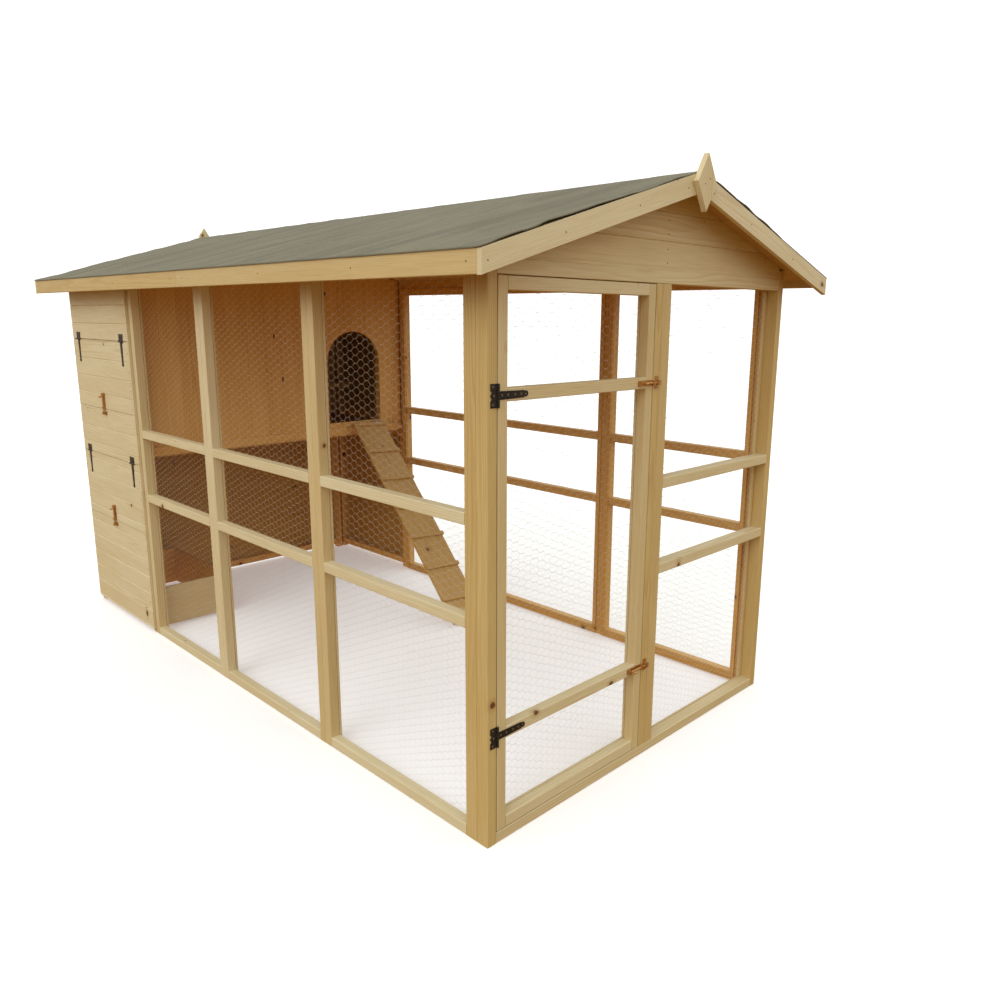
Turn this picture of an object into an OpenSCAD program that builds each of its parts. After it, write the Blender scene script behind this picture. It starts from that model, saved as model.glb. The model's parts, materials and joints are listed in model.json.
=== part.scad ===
// Walk-in chicken coop: a timber framed run of bolted-together mesh panels with a raised
// hen house at the far end, an apex roof with mineral felt, and a cleated ramp.
// X runs across the front gable, Y from the front gable to the back gable, Z up.
// The origin is the point on the ground under the middle of the coop.

/* [Size] */
// Width over the front gable
width = 1525; // [1200:1:2000]
// Length from the front gable to the back wall
length = 3005; // [2400:1:3600]
// Height of the top of the side walls
eaves_z = 1632; // [1400:1:1900]
// Height of the felt at the ridge
ridge_z = 1909; // [1700:1:2200]

/* [Timber] */
// Face width of the framing timber
t = 35; // [28:1:50]
// Depth of the gable framing timber
gable_d = 45; // [28:1:60]
// Thickness of the matchboard cladding
clad_t = 12; // [8:1:20]
// Cover width of one cladding board
board = 83; // [60:1:120]
// Softened edge of the timbers
arris = 1.5; // [0.5:0.1:4]
// Gap left at a butt joint between two timbers
joint = 0.4; // [0.1:0.1:2]
// Width of the beading that holds the mesh
bead_w = 18; // [12:1:30]
// Thickness of the beading
bead_t = 9; // [5:1:15]
// Thickness of the mesh panels
mesh_t = 1; // [0.6:0.1:2]

/* [Run] */
// Joint between the first and second side panel
seam_1 = 833; // [600:1:1000]
// Joint between the second and third side panel
seam_2 = 1602; // [1300:1:1800]
// Joint between the first and second panel of the right side
right_seam_1 = 800; // [600:1:1000]
// Joint between the second and third panel of the right side
right_seam_2 = 1545; // [1300:1:1800]
// Joint between the run and the hen house
seam_3 = 2290; // [2000:1:2600]
// Underside of the lower mid rail
rail_low = 642; // [400:1:800]
// Underside of the upper mid rail
rail_high = 936; // [800:1:1200]

/* [Door] */
// Height of the door's head, where the gable's top rail starts
door_head = 1589; // [1400:1:1700]
// Right edge of the doorway
door_right = 714; // [600:1:900]
// Underside of the door's lower rail
door_rail_low = 319; // [200:1:500]
// Underside of the door's upper rail
door_rail_high = 1270; // [1000:1:1400]
// Gap round the door
door_gap = 3; // [2:0.5:6]

/* [Hen house] */
// Underside of the rail at the foot of the inner wall
floor_rail = 842; // [600:1:1000]
// Upper surface of the house floor
floor_z = 880; // [650:1:1050]
// Lower edge of the lower flap
flap_low_0 = 490; // [300:1:600]
// Upper edge of the lower flap
flap_low_1 = 806; // [600:1:840]
// Lower edge of the upper flap
flap_up_0 = 1037; // [900:1:1200]
// Upper edge of the upper flap
flap_up_1 = 1361; // [1200:1:1500]
// Centre of the pop hole across the house
pop_x = 1170; // [400:1:1300]
// Width of the pop hole
pop_w = 335; // [200:1:400]
// Foot of the pop hole
pop_z = 912; // [880:1:1000]
// Top of the pop hole's arch
pop_top = 1400; // [1200:1:1500]
// Gap between the ground and the foot of the house walls
foot = 20; // [0:1:60]

/* [Ramp] */
// Left edge of the ramp
ramp_x = 1140; // [900:1:1250]
// Width of the ramp
ramp_w = 195; // [150:1:260]
// Number of cleats on the ramp
cleats = 7; // [4:1:10]
// Spacing of the cleats
cleat_pitch = 190; // [120:1:220]
// Steepness of the ramp in degrees
ramp_fall = 43.5; // [35:0.1:60]
// How far out of square the ramp hangs, in degrees
ramp_skew = 4.1; // [0:0.1:6]
// Height of the rod the ramp turns on
pivot_z = 900; // [870:1:905]

/* [Roof] */
// Overhang past the gables
over_y = 110; // [60:1:160]
// Overhang past the side walls
over_x = 122; // [60:1:160]
// Thickness of fascia and barge boards
trim_t = 16; // [10:1:22]
// Height of the fascia boards
fascia_h = 58; // [40:1:90]
// Height of the narrower fascia boards on the right eaves
right_fascia_h = 34; // [30:1:90]
// Upright height of the barge boards
barge_h = 60; // [40:1:90]
// Thickness of the felt
felt_t = 3; // [2:0.5:5]
// Joint between the two lengths of fascia
fascia_seam = 1495; // [1200:1:1800]

/* [Ironwork] */
// Radius of a hinge knuckle
knuckle_r = 3.5; // [3:0.1:5]
// Radius of a hinge pin
pin_r = 1.7; // [1:0.1:2.5]
// Length of a hinge strap from its pin
strap_l = 112; // [80:1:160]
// Height of the door's hinge plates
door_plate_h = 62; // [46:1:80]
// Width of the flaps' smaller hinge plates
flap_plate_h = 46; // [40:1:70]
// Radius of a bolt's rod
rod_r = 4; // [3:0.1:6]
// Travel of a bolt
throw = 38; // [20:1:50]

/* [Hidden] */
$fn = 48;
mid_x = width / 2;
slope = (ridge_z - eaves_z - 7) / (mid_x + over_x);
board_v = clad_t / cos(atan(slope));
side_in = t + mesh_t + bead_t;
back_in = length - clad_t - t;
door_x0 = t - 1 + door_gap;
door_x1 = door_right - door_gap;
door_z0 = t - 1 + door_gap;
door_z1 = door_head - door_gap;
knuckle_y = -(knuckle_r + 0.2);
flap_y0 = seam_3 + 14;
flap_y1 = back_in + 32;
wall_y = seam_3 + 10;
pivot_y = seam_3 - 9;
ramp_l = ((pivot_z - 0.6 - 7 * cos(ramp_fall)) / sin(ramp_fall) - ramp_w * sin(ramp_skew))
  / cos(ramp_skew);
plain_rails = [foot, 798, 1352, eaves_z - t];
flap_rails = concat(plain_rails, [flap_low_0 - 36, flap_up_0 - 27]);
bay_x0 = door_right + t - 1 + 45 + joint;
bay_x1 = width - t - joint / 2;
hinge_x = t - 1 + door_gap / 2;
door_hinges = [door_rail_low + t / 2, door_rail_high + t / 2];
flap_hinges = [seam_3 + 80, back_in - 45];
flap_mid = (flap_y0 + flap_y1) / 2;

PINE = [0.80, 0.69, 0.49];
PINE_DARK = [0.66, 0.50, 0.29];
FELT = [0.50, 0.49, 0.41];
IRON = [0.05, 0.05, 0.05];
BRASS = [0.55, 0.38, 0.20];
WIRE = [0.72, 0.72, 0.70];

// Height of the felt's underside, and of the roof boards' two faces, at x
function felt_under(x) = ridge_z - felt_t - slope * abs(x - mid_x);
function over(x) = felt_under(x) - 0.3;
function under(x) = over(x) - board_v;

// A timber section with softened corners
module section(a, b, c = arris)
  polygon([[c, 0], [a - c, 0], [a, c], [a, b - c], [a - c, b], [c, b], [0, b - c], [0, c]]);

// Timbers lying along X, along Y and standing, from their lowest corner and their size
module bar_x(p, s, c = arris)
  translate(p) rotate([90, 0, 90]) linear_extrude(s[0]) section(s[1], s[2], c);
module bar_y(p, s, c = arris)
  translate(p + [0, s[1], 0]) rotate([90, 0, 0]) linear_extrude(s[1]) section(s[0], s[2], c);
module bar_z(p, s, c = arris)
  translate(p) linear_extrude(s[2]) section(s[0], s[1], c);

// Everything is drawn from the corner of the left wall and the front gable, then moved here
module centred() translate([-width / 2, -length / 2, 0]) children();
// A repeat of a module on the other side of the coop
module far_side() translate([width, 0, 0]) mirror([1, 0, 0]) children();

// A closed outline given in X and Z, as thick as s, with its front at y
module outline(y, s, pts)
  translate([0, y + s, 0]) rotate([90, 0, 0]) linear_extrude(s) polygon(pts);

// Half widths and depth of the V joint between two boards
function vee(z, w = 2.5, d = 3) = [[0, z - w], [d, z], [0, z + w]];
// Edge of a boarded face between two heights, with a V at each joint
function face(z0, z1, p, first) =
  [for (k = [-30 : 30]) let (z = first + k * p) if (z > z0 + 4 && z < z1 - 4) each vee(z)];

// A piece of horizontal matchboard on the left wall, its face at x = -clad_t
module side_boards(y0, y1, z0, z1, inner = 0)
  translate([-clad_t, y1, 0]) rotate([90, 0, 0]) linear_extrude(y1 - y0)
    polygon(concat([[clad_t - inner, z1], [clad_t - inner, z0], [0, z0]],
      face(z0, z1, board, 857), [[0, z1]]));

// A piece of horizontal matchboard facing -Y, its face at y
module front_boards(x0, x1, z0, z1, y)
  translate([x0, y, 0]) rotate([90, 0, 90]) linear_extrude(x1 - x0)
    polygon(concat([[clad_t, z1], [clad_t, z0], [0, z0]],
      face(z0, z1, board + 3, 1629), [[0, z1]]));

// ---- gables ----

module front_gable_frame() color(PINE) centred() {
  s = t - 1;
  for (x = [0, width - s]) bar_z([x, 0, 0], [s, gable_d, under(0) - 0.6]);
  bar_x([s + joint, 0, 0], [width - 2 * s - 2 * joint, gable_d, s]);
  bar_x([s + joint, 0, door_head], [width - 2 * s - 2 * joint, gable_d, 40]);
  bar_z([door_right, 0, s + joint], [s, gable_d, door_head - s - 2 * joint]);
  bar_z([door_right + s + joint, 0, s + joint], [45, gable_d, door_head - s - 2 * joint]);
  for (z = [rail_low, rail_high])
    bar_x([door_right + s + 45 + 2 * joint, 0, z],
      [width - 2 * s - 45 - door_right - 3 * joint, gable_d, t]);
  for (m = [0, 1])
    translate([m * width, 0, 0]) mirror([m, 0, 0])
      outline(clad_t + 3 + joint, gable_d - clad_t - 3 - joint,
        [[s + joint, under(s) - 34], [mid_x - joint / 2, under(mid_x) - 34],
         [mid_x - joint / 2, under(mid_x)], [s + joint, under(s)]]);
}

module front_gable_boards() color(PINE) centred() {
  s = t - 1;
  intersection() {
    front_boards(s + joint, width - s - joint, door_head + 40, ridge_z, 3);
    outline(0, 40, [[s + joint, door_head + 40], [width - s - joint, door_head + 40],
      [width - s - joint, under(s)], [mid_x, under(mid_x)], [s + joint, under(s)]]);
  }
}

module back_gable_frame() color(PINE) centred() {
  y = back_in;
  for (x = [side_in + 2, width - side_in - 2 - t]) bar_z([x, y, 0], [t, t, eaves_z]);
  for (z = plain_rails)
    bar_x([side_in + 2 + t + joint, y, z],
      [width - 2 * side_in - 4 - 2 * t - 2 * joint, t, t]);
  for (m = [0, 1])
    translate([m * width, 0, 0]) mirror([m, 0, 0])
      outline(y, t, [[side_in + 2, max(eaves_z + joint, under(side_in) - 34)],
        [mid_x - joint / 2, under(mid_x) - 34],
        [mid_x - joint / 2, under(mid_x)], [side_in + 2, under(side_in + 2)]]);
}

module back_gable_boards() color(PINE) centred()
  intersection() {
    translate([width, length, 0]) rotate([0, 0, 180])
      front_boards(0, width, foot, ridge_z, 0);
    outline(length - 40, 50, [[0, foot], [width, foot], [width, under(0)],
      [mid_x, under(mid_x)], [0, under(0)]]);
  }

// ---- side panels ----

// One mesh panel frame between two seams; the first stile may be wider
module panel_frame(y0, y1, w0 = t) {
  bar_z([0, y0 + joint / 2, 0], [t, w0, eaves_z]);
  bar_z([0, y1 - t - joint / 2, 0], [t, t, eaves_z]);
  for (z = [0, rail_low, rail_high, eaves_z - t])
    bar_y([0, y0 + w0 + 1.5 * joint, z], [t, y1 - y0 - w0 - t - 3 * joint, t]);
}

module run_side(a, b) {
  panel_frame(gable_d, a, 46);
  panel_frame(a, b);
  panel_frame(b, seam_3);
}
module left_run_frame() color(PINE) centred() run_side(seam_1, seam_2);
module right_run_frame() color(PINE) centred()
  far_side() run_side(right_seam_1, right_seam_2);

module house_side(rails) {
  for (y = [seam_3 + joint / 2, length - clad_t - t - joint]) bar_z([0, y, 0], [t, t, eaves_z]);
  for (z = rails)
    bar_y([0, seam_3 + t + 1.5 * joint, z],
      [t, length - clad_t - seam_3 - 2 * t - 4 * joint, t]);
}
module left_house_frame() color(PINE) centred() house_side(flap_rails);
module right_house_frame() color(PINE) centred() far_side() house_side(plain_rails);

module left_house_boards() color(PINE) centred() {
  y1 = length - clad_t - joint;
  side_boards(seam_3, y1, foot, flap_low_0 - 2);
  side_boards(seam_3, y1, flap_low_1 + 3, flap_up_0 - 2);
  side_boards(seam_3, y1, flap_up_1 + 3, eaves_z + 20);
  for (z = [[flap_low_0, flap_low_1], [flap_up_0, flap_up_1]]) {
    side_boards(seam_3, flap_y0 - 2, z[0] - 1.6, z[1] + 2.6);
    side_boards(flap_y1 + 2, y1, z[0] - 1.6, z[1] + 2.6);
  }
}
module right_house_boards() color(PINE) centred() far_side()
  side_boards(seam_3, length - clad_t - joint, foot, eaves_z + 20);

// ---- inner wall, floor and fittings of the hen house ----

module pop_outline(g = 0)
  translate([pop_x, 0]) {
    translate([-pop_w / 2 - g, pop_z - g])
      square([pop_w + 2 * g, pop_top - pop_w / 2 - pop_z + g]);
    translate([0, pop_top - pop_w / 2]) circle(pop_w / 2 + g, $fn = 96);
  }

module house_front_boards() color(PINE) centred()
  translate([0, wall_y + clad_t, 0]) difference() {
    rotate([90, 0, 0]) linear_extrude(clad_t) difference() {
      polygon([[side_in + 1, floor_rail], [width - side_in - 1, floor_rail],
        [width - side_in - 1, under(side_in)], [mid_x, under(mid_x) - 75],
        [side_in + 1, under(side_in)]]);
      pop_outline();
    }
    for (k = [-14 : 5])
      translate([pop_x - 7 + k * 86, -clad_t - 1, 0]) rotate([0, 0, 45])
        translate([-2.2, -2.2, floor_rail - 5]) cube([4.4, 4.4, 1200]);
  }

module house_front_frame() color(PINE) centred() {
  y = wall_y + clad_t;
  for (x = [side_in + 1, pop_x - pop_w / 2 - t - 4, pop_x + pop_w / 2 + 4])
    bar_z([x, y, floor_z], [t, t, eaves_z - t - floor_z - joint]);
  bar_x([side_in + 1, y, eaves_z - t], [width - 2 * side_in - 2, t, t]);
  bar_z([width - side_in - 1 - t, y, floor_z], [t, t, eaves_z - t - floor_z - joint]);
}

module threshold_rail() color(PINE) centred()
  bar_x([side_in + 1, seam_3 + joint, floor_rail], [width - 2 * side_in - 2, 10 - joint, 42]);

module house_floor() color(PINE_DARK) centred()
  difference() {
    translate([side_in + 1, wall_y + clad_t, floor_z - 14])
      cube([width - 2 * side_in - 2, back_in - wall_y - clad_t - joint, 14 - joint]);
    for (k = [1 : 15])
      translate([side_in + k * 90, wall_y, floor_z - joint]) rotate([0, 45, 0])
        cube([2, 900, 2]);
  }

module floor_bearers() color(PINE_DARK) centred()
  for (y = [wall_y + clad_t, (wall_y + back_in) / 2 - t / 2, back_in - t - joint])
    bar_x([side_in + 1, y, floor_rail - 9],
      [width - 2 * side_in - 2, t, floor_z - 5 - floor_rail]);

module perch() color(PINE) centred()
  translate([side_in + 1, back_in - 150, floor_z + 170]) rotate([90, 0, 90])
    linear_extrude(width - 2 * side_in - 2) section(45, t, 7);

// Low boards that close the front, side and back of the space behind the lower flap
module dust_bath_box() color(PINE) centred() {
  y0 = wall_y + clad_t;
  bar_x([side_in + 1, y0, 14], [344, clad_t, 192]);
  bar_y([side_in + 1 + 344 - clad_t, y0 + clad_t + joint, 14],
    [clad_t, back_in - y0 - 2 * clad_t - 3 * joint, 192]);
  bar_x([side_in + 1, back_in - clad_t - joint, 14], [344, clad_t, 192]);
}

// ---- mesh and beading ----

module side_mesh(y0, y1)
  translate([t, y0 + 6, 6]) cube([mesh_t, y1 - y0 - 12, eaves_z - 12]);

module side_bead(y0, y1, w0 = t) {
  x = t + mesh_t;
  l = y1 - y0 - w0 - t + 2 * bead_w;
  for (y = [y0 + w0 - bead_w, y1 - t])
    bar_z([x, y, bead_w + 3 + joint], [bead_t, bead_w, eaves_z - 2 * bead_w - 3 - 2 * joint], 1);
  for (z = [3, eaves_z - bead_w]) bar_y([x, y0 + w0 - bead_w, z], [bead_t, l, bead_w], 1);
}

module run_meshes(a, b) {
  side_mesh(gable_d, a);
  side_mesh(a, b);
  side_mesh(b, seam_3);
}
module run_beads(a, b) {
  side_bead(gable_d, a, 46);
  side_bead(a, b);
  side_bead(b, seam_3);
}
module left_run_mesh() color(WIRE) centred() run_meshes(seam_1, seam_2);
module right_run_mesh() color(WIRE) centred()
  far_side() run_meshes(right_seam_1, right_seam_2);
module left_run_beading() color(PINE) centred() run_beads(seam_1, seam_2);
module right_run_beading() color(PINE) centred()
  far_side() run_beads(right_seam_1, right_seam_2);

module front_bay_mesh() color(WIRE) centred()
  translate([bay_x0 - 12, gable_d, 22]) cube([bay_x1 - bay_x0 + 10, mesh_t, door_head - 8]);
module front_bay_beading() color(PINE) centred() {
  y = gable_d + mesh_t;
  x0 = bay_x0 - 12;
  w = bay_x1 - x0 - 1.2;
  h = door_head - 2 * bead_w - 2;
  for (x = [x0, x0 + w - bead_w]) bar_z([x, y, 16 + bead_w + joint], [bead_w, bead_t, h], 1);
  for (z = [16, door_head + 16 - joint]) bar_x([x0, y, z], [w, bead_t, bead_w], 1);
}

// ---- roof ----

module roof_bearers() color(PINE) centred() {
  y0 = gable_d + joint;
  y1 = back_in - joint;
  for (m = [0, 1]) translate([m * width, 0, 0]) mirror([m, 0, 0])
    outline(y0, y1 - y0, [[0, eaves_z], [t, eaves_z], [t, under(t)], [0, under(0)]]);
  outline(y0, y1 - y0, [[mid_x - 17, under(mid_x) - 75], [mid_x + 17, under(mid_x) - 75],
    [mid_x + 17, under(mid_x + 17)], [mid_x, under(mid_x)], [mid_x - 17, under(mid_x + 17)]]);
}

module roof_boards() color(PINE_DARK) centred() {
  x0 = -over_x + trim_t;
  y0 = -over_y + trim_t;
  y1 = length + over_y - trim_t;
  for (m = [0, 1], s = [[y0, seam_2 - joint], [seam_2, y1]])
    translate([m * width, 0, 0]) mirror([m, 0, 0])
      difference() {
        outline(s[0], s[1] - s[0], [[x0, under(x0)], [mid_x - joint / 2, under(mid_x)],
          [mid_x - joint / 2, over(mid_x)], [x0, over(x0)]]);
        for (k = [1 : 9])
          translate([x0 + k * board, s[0] - 1, under(x0 + k * board) - 2])
            rotate([0, 45 - atan(slope), 0]) cube([3, s[1] - s[0] + 2, 3]);
      }
}

module roof_felt() color(FELT) centred() {
  x0 = -over_x - 3;
  z0 = felt_under(x0);
  outline(-over_y, length + 2 * over_y, [[x0, z0], [mid_x, felt_under(mid_x)], [width - x0, z0],
    [width - x0, z0 + felt_t], [mid_x, ridge_z], [x0, z0 + felt_t]]);
}

module fascia_boards() color(PINE) centred()
  for (m = [0, 1],
       s = [[-over_y + trim_t, fascia_seam - 1], [fascia_seam, length + over_y - trim_t]])
    let (h = m == 0 ? fascia_h : right_fascia_h)
      translate([m * width, 0, 0]) mirror([m, 0, 0])
        translate([-over_x, s[1], over(-over_x) - h])
          rotate([90, 0, 0]) linear_extrude(s[1] - s[0])
            polygon([[arris, 0], [trim_t, 0], [trim_t, h], [0, h], [0, arris]]);

module barge_boards() color(PINE) centred()
  for (y = [-over_y, length + over_y - trim_t], m = [0, 1])
    translate([m * width, 0, 0]) mirror([m, 0, 0])
      outline(y, trim_t - joint, [[-over_x, over(-over_x)], [-over_x, over(-over_x) - barge_h],
        [mid_x - joint, over(mid_x) - barge_h], [mid_x - joint, over(mid_x)]]);

module finials() color(PINE) centred()
  for (y = [-over_y - 18 - joint, length + over_y + joint])
    outline(y, 18, [for (a = [0 : 90 : 270])
      [mid_x + 50 * cos(a), ridge_z - 36 + 82 * sin(a)]]);

// ---- ironwork: a T hinge and a bolt, drawn on a face at y = 0 ----

// Fixed plate and its two knuckles, h tall and w wide, with the pin along Z at x = 0
module hinge_plate(h, w) {
  k = h / 2 - 12;
  difference() {
    union() {
      translate([-w, -2, -h / 2]) cube([w - 3, 2 - 0.05, h]);
      for (z = [-h / 2, 12]) {
        translate([0, knuckle_y, z]) cylinder(r = knuckle_r, h = k);
        translate([-4, -2.6, z]) cube([3, 1.6, k]);
      }
    }
    for (z = [-h / 2 - 1, 11.7]) translate([0, knuckle_y, z]) cylinder(r = pin_r + 0.01, h = k + 2);
    for (z = [-8, 8]) translate([-w - 1, -3, z]) rotate([-90, 0, 0]) cylinder(r = 5, h = 4);
    translate([-4, -8, -12]) cube([12, 9, 24]);
  }
}

module hinge_pin(h) translate([0, knuckle_y, -h / 2 - 1]) cylinder(r = pin_r, h = h + 2);

// Moving strap with its middle knuckle; it narrows to half width tip before a pierced eye
module hinge_strap(tip, eye) {
  l = strap_l - 9;
  difference() {
    union() {
      translate([0, knuckle_y, -11.5]) cylinder(r = knuckle_r, h = 23);
      translate([0.5, -2.6, -11.5]) cube([5, 1.6, 23]);
      translate([0, -0.05, 0]) rotate([90, 0, 0]) linear_extrude(1.95) {
        polygon([[3, -11], [14, -11], [l - 6, -tip], [l - 6, tip], [14, 11], [3, 11]]);
        translate([l, 0]) circle(eye);
      }
    }
    translate([0, knuckle_y, -12.5]) cylinder(r = pin_r + 0.05, h = 25);
    translate([l, 1, 0]) rotate([90, 0, 0]) cylinder(r = 2.4, h = 4);
    translate([-8, -1, -12]) cube([10, 9, 24]);
  }
}

module screw(x, z) translate([x, -2 - 0.02, z]) rotate([90, 0, 0]) difference() {
  cylinder(r1 = 3.6, r2 = 2.4, h = 1.1, $fn = 24);
  translate([-4, -0.4, 0.6]) cube([8, 0.8, 1]);
}
module plate_screw_set(h, w)
  for (p = [[8 - w, h / 2 - 8], [8 - w, 8 - h / 2], [-0.56 * w, 0]]) screw(p[0], p[1]);
module strap_screw_set() for (x = [14, 36, 62, 84]) screw(x, 0);

// Bolt body: back plate, two guides; the rod points along +X and the plate ends at x = 0
module bolt_body()
  difference() {
    union() {
      translate([-77, -1.6, -9]) cube([76.5, 1.6 - 0.05, 18]);
      for (x = [-75, -11])
        translate([x, -9 - rod_r, -rod_r - 3]) cube([9, 9 + rod_r - 1, 2 * rod_r + 6]);
    }
    translate([-78, -8, 0]) rotate([0, 90, 0]) cylinder(r = rod_r + 0.06, h = 80);
    for (x = [-58, -20], z = [-6.2, 6.2])
      translate([x, 1, z]) rotate([90, 0, 0]) cylinder(r = 1.6, h = 4);
  }

// Sliding rod with its knob, drawn back so its tip stands 8 beyond the plate
module bolt_rod() {
  translate([-74, -8, 0]) rotate([0, 90, 0]) cylinder(r = rod_r, h = 82);
  translate([-59, -8, 0]) rotate([90, 0, 0]) cylinder(r = 2.6, h = 13);
  translate([-59, -21, 0]) sphere(r = 5, $fn = 32);
}

// Keep that receives the rod
module bolt_keep()
  difference() {
    union() {
      translate([10, -1.6, -20]) cube([18, 1.6 - 0.05, 40]);
      translate([12, -8 - rod_r - 2, -rod_r - 3]) cube([14, 9 + rod_r, 2 * rod_r + 6]);
    }
    translate([9, -8, 0]) rotate([0, 90, 0]) cylinder(r = rod_r + 0.6, h = 22);
    for (z = [-14, 14]) translate([19, 1, z]) rotate([90, 0, 0]) cylinder(r = 1.6, h = 4);
  }

module at_door(z) translate([hinge_x, 0, z]) children();
// The same ironwork turned to lie on the left wall, pointing down
module on_wall(y, z) translate([-clad_t, y, z]) rotate([90, 90, 0]) children();
module at_flaps(z) for (y = flap_hinges) on_wall(y, z + 1.5) children();

module door_sites() for (z = door_hinges) at_door(z) children();
module flap_sites() {
  at_flaps(flap_up_1) children();
  at_flaps(flap_low_1) children();
}
module hinge_plates() color(IRON) centred() {
  door_sites() hinge_plate(door_plate_h, 26);
  flap_sites() hinge_plate(flap_plate_h, 32);
}
module hinge_pins() color(IRON) centred() {
  door_sites() hinge_pin(door_plate_h);
  flap_sites() hinge_pin(flap_plate_h);
}
module plate_screws() color(IRON) centred() {
  door_sites() plate_screw_set(door_plate_h, 26);
  flap_sites() plate_screw_set(flap_plate_h, 32);
}
module bolt_keeps() color(BRASS) centred() {
  for (z = door_hinges) translate([door_x1, 0, z]) bolt_keep();
  for (z = [flap_up_0, flap_low_0]) on_wall((flap_y0 + flap_y1) / 2, z) bolt_keep();
}

// ---- door ----

module door_frame() color(PINE) centred() {
  w = door_x1 - door_x0;
  for (x = [door_x0, door_x1 - t]) bar_z([x, 0, door_z0], [t, t - 1, door_z1 - door_z0]);
  for (z = [door_z0, door_rail_low, door_rail_high, door_z1 - t])
    bar_x([door_x0 + t + joint, 0, z], [w - 2 * t - 2 * joint, t - 1, t]);
}
module door_mesh() color(WIRE) centred()
  translate([door_x0 + 14, t - 1, door_z0 + 14])
    cube([door_x1 - door_x0 - 28, mesh_t, door_z1 - door_z0 - 28]);
module door_beading() color(PINE) centred() {
  y = t - 1 + mesh_t;
  h = door_z1 - door_z0;
  for (x = [door_x0 + t - bead_w, door_x1 - t])
    bar_z([x, y, door_z0 + t + joint], [bead_w, bead_t, h - 2 * t - 2 * joint], 1);
  for (z = [door_z0 + t - bead_w, door_z1 - t])
    bar_x([door_x0 + t - bead_w, y, z], [door_x1 - door_x0 - 2 * t + 2 * bead_w, bead_t, bead_w], 1);
}
module door_hinge_straps() color(IRON) centred() door_sites() hinge_strap(9.5, 8);
module door_strap_screws() color(IRON) centred() door_sites() strap_screw_set();
module door_bolt_bodies() color(BRASS) centred()
  for (z = door_hinges) translate([door_x1, 0, z]) bolt_body();
module upper_bolt_rod() color(BRASS) centred() translate([door_x1, 0, door_hinges[1]]) bolt_rod();
module lower_bolt_rod() color(BRASS) centred() translate([door_x1, 0, door_hinges[0]]) bolt_rod();

// ---- flaps ----

module flap(z0, z1) {
  side_boards(flap_y0, flap_y1, z0, z1, 0.3);
  for (y = [flap_y0 + 40, flap_y1 - 75])
    bar_z([joint - 0.3, y, z0 + 22], [18, 35, z1 - z0 - 46]);
}
module upper_flap() color(PINE) centred() flap(flap_up_0, flap_up_1);
module lower_flap() color(PINE) centred() flap(flap_low_0, flap_low_1);
module upper_flap_straps() color(IRON) centred() at_flaps(flap_up_1) hinge_strap(6.5, 9);
module lower_flap_straps() color(IRON) centred() at_flaps(flap_low_1) hinge_strap(6.5, 9);
module upper_flap_screws() color(IRON) centred() at_flaps(flap_up_1) strap_screw_set();
module lower_flap_screws() color(IRON) centred() at_flaps(flap_low_1) strap_screw_set();
module upper_flap_bolt_body() color(BRASS) centred() on_wall(flap_mid, flap_up_0) bolt_body();
module lower_flap_bolt_body() color(BRASS) centred() on_wall(flap_mid, flap_low_0) bolt_body();
module upper_flap_bolt_rod() color(BRASS) centred() on_wall(flap_mid, flap_up_0) bolt_rod();
module lower_flap_bolt_rod() color(BRASS) centred() on_wall(flap_mid, flap_low_0) bolt_rod();

// ---- ramp: drawn along its own slope, from the pivot downwards ----

module on_ramp() translate([0, pivot_y, pivot_z]) rotate([ramp_fall, 0, 0]) children();

// The board hangs a little out of square on its two knuckles
module on_board() on_ramp() translate([ramp_x, 0, 0]) rotate([0, 0, -ramp_skew]) children();

module ramp_board() color(PINE) centred()
  on_board() bar_y([0, -ramp_l, -7], [ramp_w, ramp_l - 10, 14]);
module ramp_cleats() color(PINE) centred()
  on_board() for (k = [0 : cleats - 1])
    bar_x([-4, -25 - k * cleat_pitch, 7 + joint], [ramp_w + 8, 22, 12], 2);
module ramp_knuckles() color(IRON) centred()
  on_ramp() for (x = [ramp_x + 30, ramp_x + ramp_w - 50])
    difference() {
      union() {
        translate([x, 0, 0]) rotate([0, 90, 0]) cylinder(r = 7.6, h = 20);
        translate([x, -56, -9]) cube([20, 56, 1.95]);
      }
      translate([x - 1, 0, 0]) rotate([0, 90, 0]) cylinder(r = 4.05, h = 22);
      translate([x - 1, -12, 7]) cube([22, 24, 2]);
    }
module ramp_pivot() color(IRON) centred() {
  translate([ramp_x + 10, pivot_y, pivot_z]) rotate([0, 90, 0]) cylinder(r = 4, h = ramp_w - 20);
  for (x = [ramp_x + 22, ramp_x + ramp_w - 28])
    difference() {
      translate([x, pivot_y - 7, pivot_z - 7]) cube([6, 16 + 9, 14]);
      translate([x - 1, pivot_y, pivot_z]) rotate([0, 90, 0]) cylinder(r = 4.01, h = 8);
    }
}

front_gable_frame();
front_gable_boards();
left_run_frame();
right_run_frame();
left_house_frame();
right_house_frame();
back_gable_frame();
back_gable_boards();
left_house_boards();
right_house_boards();
house_front_frame();
house_front_boards();
threshold_rail();
house_floor();
floor_bearers();
perch();
dust_bath_box();
left_run_mesh();
right_run_mesh();
front_bay_mesh();
left_run_beading();
right_run_beading();
front_bay_beading();
roof_bearers();
roof_boards();
roof_felt();
fascia_boards();
barge_boards();
finials();
hinge_plates();
hinge_pins();
plate_screws();
bolt_keeps();
ramp_pivot();
door_frame();
door_mesh();
door_beading();
door_hinge_straps();
door_strap_screws();
door_bolt_bodies();
upper_bolt_rod();
lower_bolt_rod();
upper_flap();
upper_flap_straps();
upper_flap_screws();
upper_flap_bolt_body();
upper_flap_bolt_rod();
lower_flap();
lower_flap_straps();
lower_flap_screws();
lower_flap_bolt_body();
lower_flap_bolt_rod();
ramp_board();
ramp_cleats();
ramp_knuckles();
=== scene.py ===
import bmesh
import bpy
import json
import math
import random
from mathutils import Matrix, Vector, noise

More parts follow.
